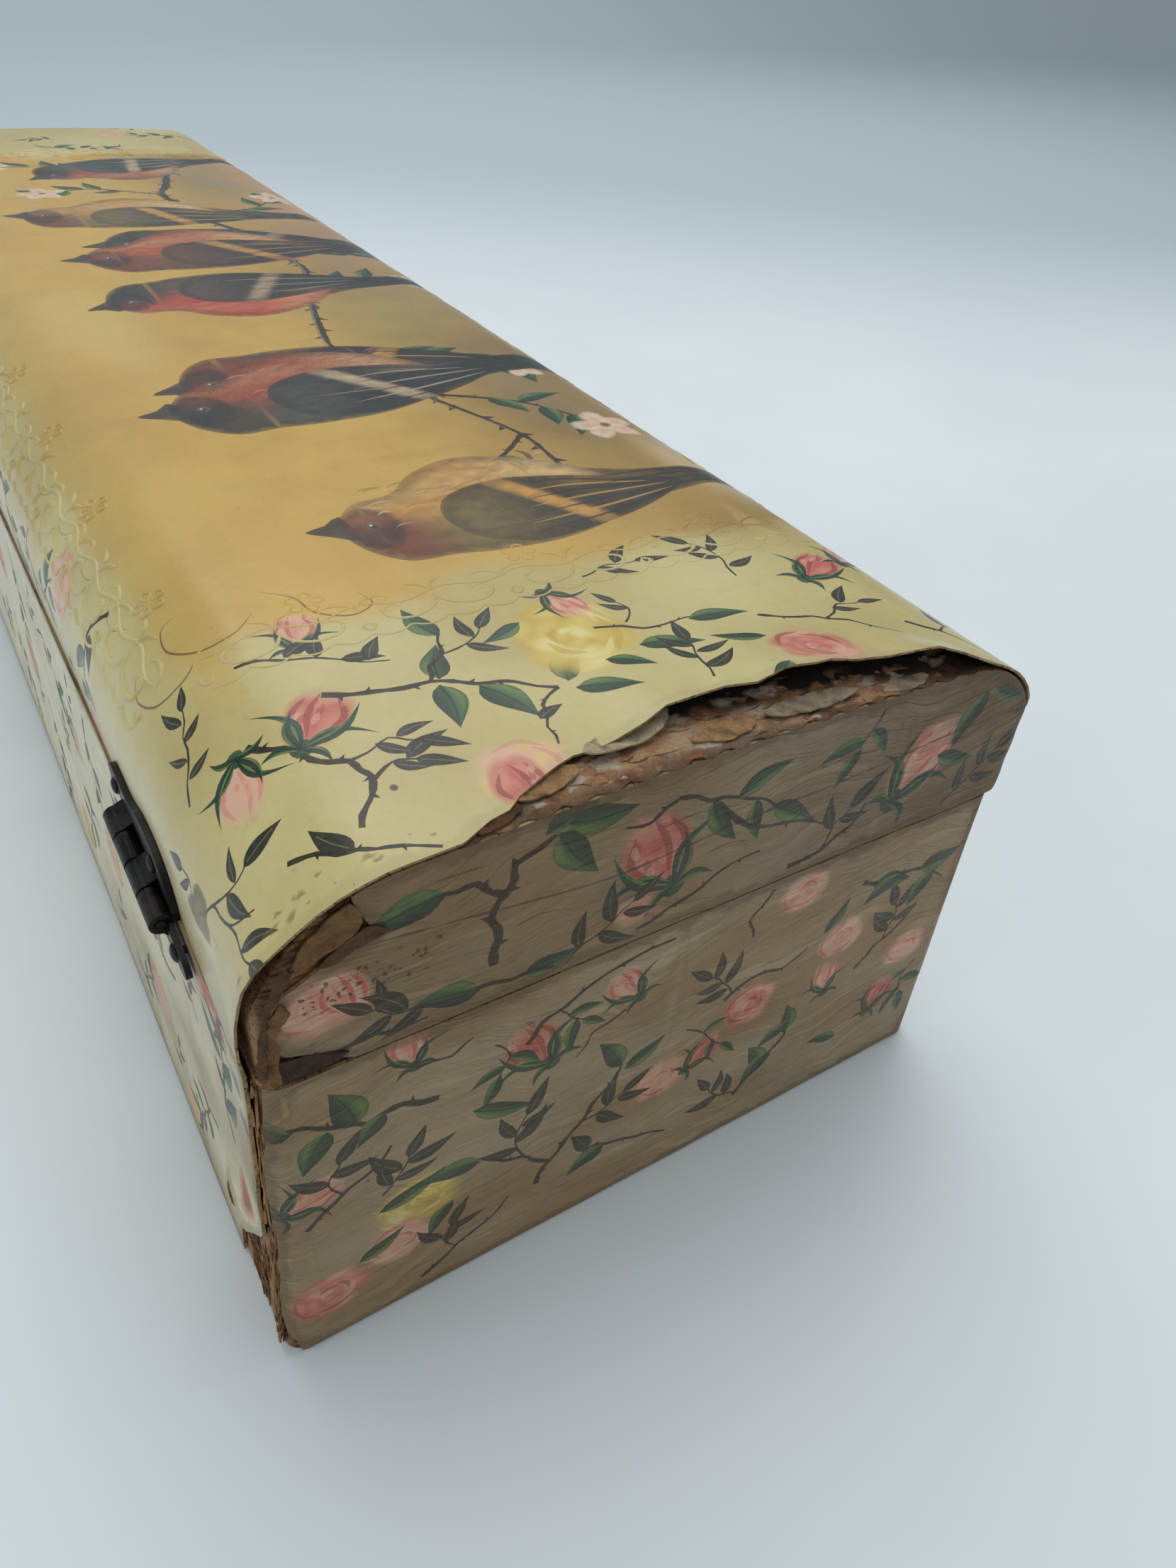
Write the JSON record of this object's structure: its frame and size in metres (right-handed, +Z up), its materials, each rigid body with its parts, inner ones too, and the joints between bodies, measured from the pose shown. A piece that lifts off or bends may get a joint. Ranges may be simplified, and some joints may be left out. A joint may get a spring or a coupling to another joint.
{
  "type": "glove box",
  "caption": "Long wooden box with a round-shouldered hinged lid, covered in printed celluloid sheets, hollow and empty.",
  "frame": {"origin": "on the table, at the middle of the base's underside", "axes": "+X along the box towards its sound end, -X the worn end, +Y towards the hinged back, +Z up"},
  "size_m": [0.33, 0.1034, 0.0745],
  "materials": {
    "bare_wood": "bare, dry and worn",
    "top_celluloid": "waxy gloss, aged cream with printed sprigs and a picture panel",
    "side_celluloid": "satin, aged cream with printed rose sprigs, rippled over the grain",
    "hinge_steel": "blackened thin steel, worn"
  },
  "bodies": {
    "base": {"base_floor_board": "bare_wood", "base_back_wall": "bare_wood", "base_front_wall": "bare_wood", "base_near_end_wall": "bare_wood", "base_far_end_wall": "bare_wood", "base_back_cover": "side_celluloid", "base_front_cover": "side_celluloid", "base_near_end_cover": "side_celluloid", "base_far_end_cover": "side_celluloid", "near_hinge_base_leaf": "hinge_steel", "far_hinge_base_leaf": "hinge_steel", "near_hinge_pin": "hinge_steel", "far_hinge_pin": "hinge_steel", "near_hinge_base_nail_1": "hinge_steel", "near_hinge_base_nail_2": "hinge_steel", "far_hinge_base_nail_1": "hinge_steel", "far_hinge_base_nail_2": "hinge_steel"},
    "lid": {"lid_top_board": "bare_wood", "lid_back_rail": "bare_wood", "lid_front_rail": "bare_wood", "lid_near_end_board": "bare_wood", "lid_far_end_board": "bare_wood", "lid_top_sheet": "top_celluloid", "lid_near_end_cover": "side_celluloid", "lid_far_end_cover": "side_celluloid", "near_hinge_lid_leaf": "hinge_steel", "far_hinge_lid_leaf": "hinge_steel", "near_hinge_lid_nail_1": "hinge_steel", "near_hinge_lid_nail_2": "hinge_steel", "far_hinge_lid_nail_1": "hinge_steel", "far_hinge_lid_nail_2": "hinge_steel"}
  },
  "joints": [
    {"name": "lid_hinge", "type": "hinge", "parent": "base", "child": "lid", "pos_m": [0, 0.0506, 0.05115], "axis": [-1, 0, 0], "range_deg": [0, 180]}
  ]
}
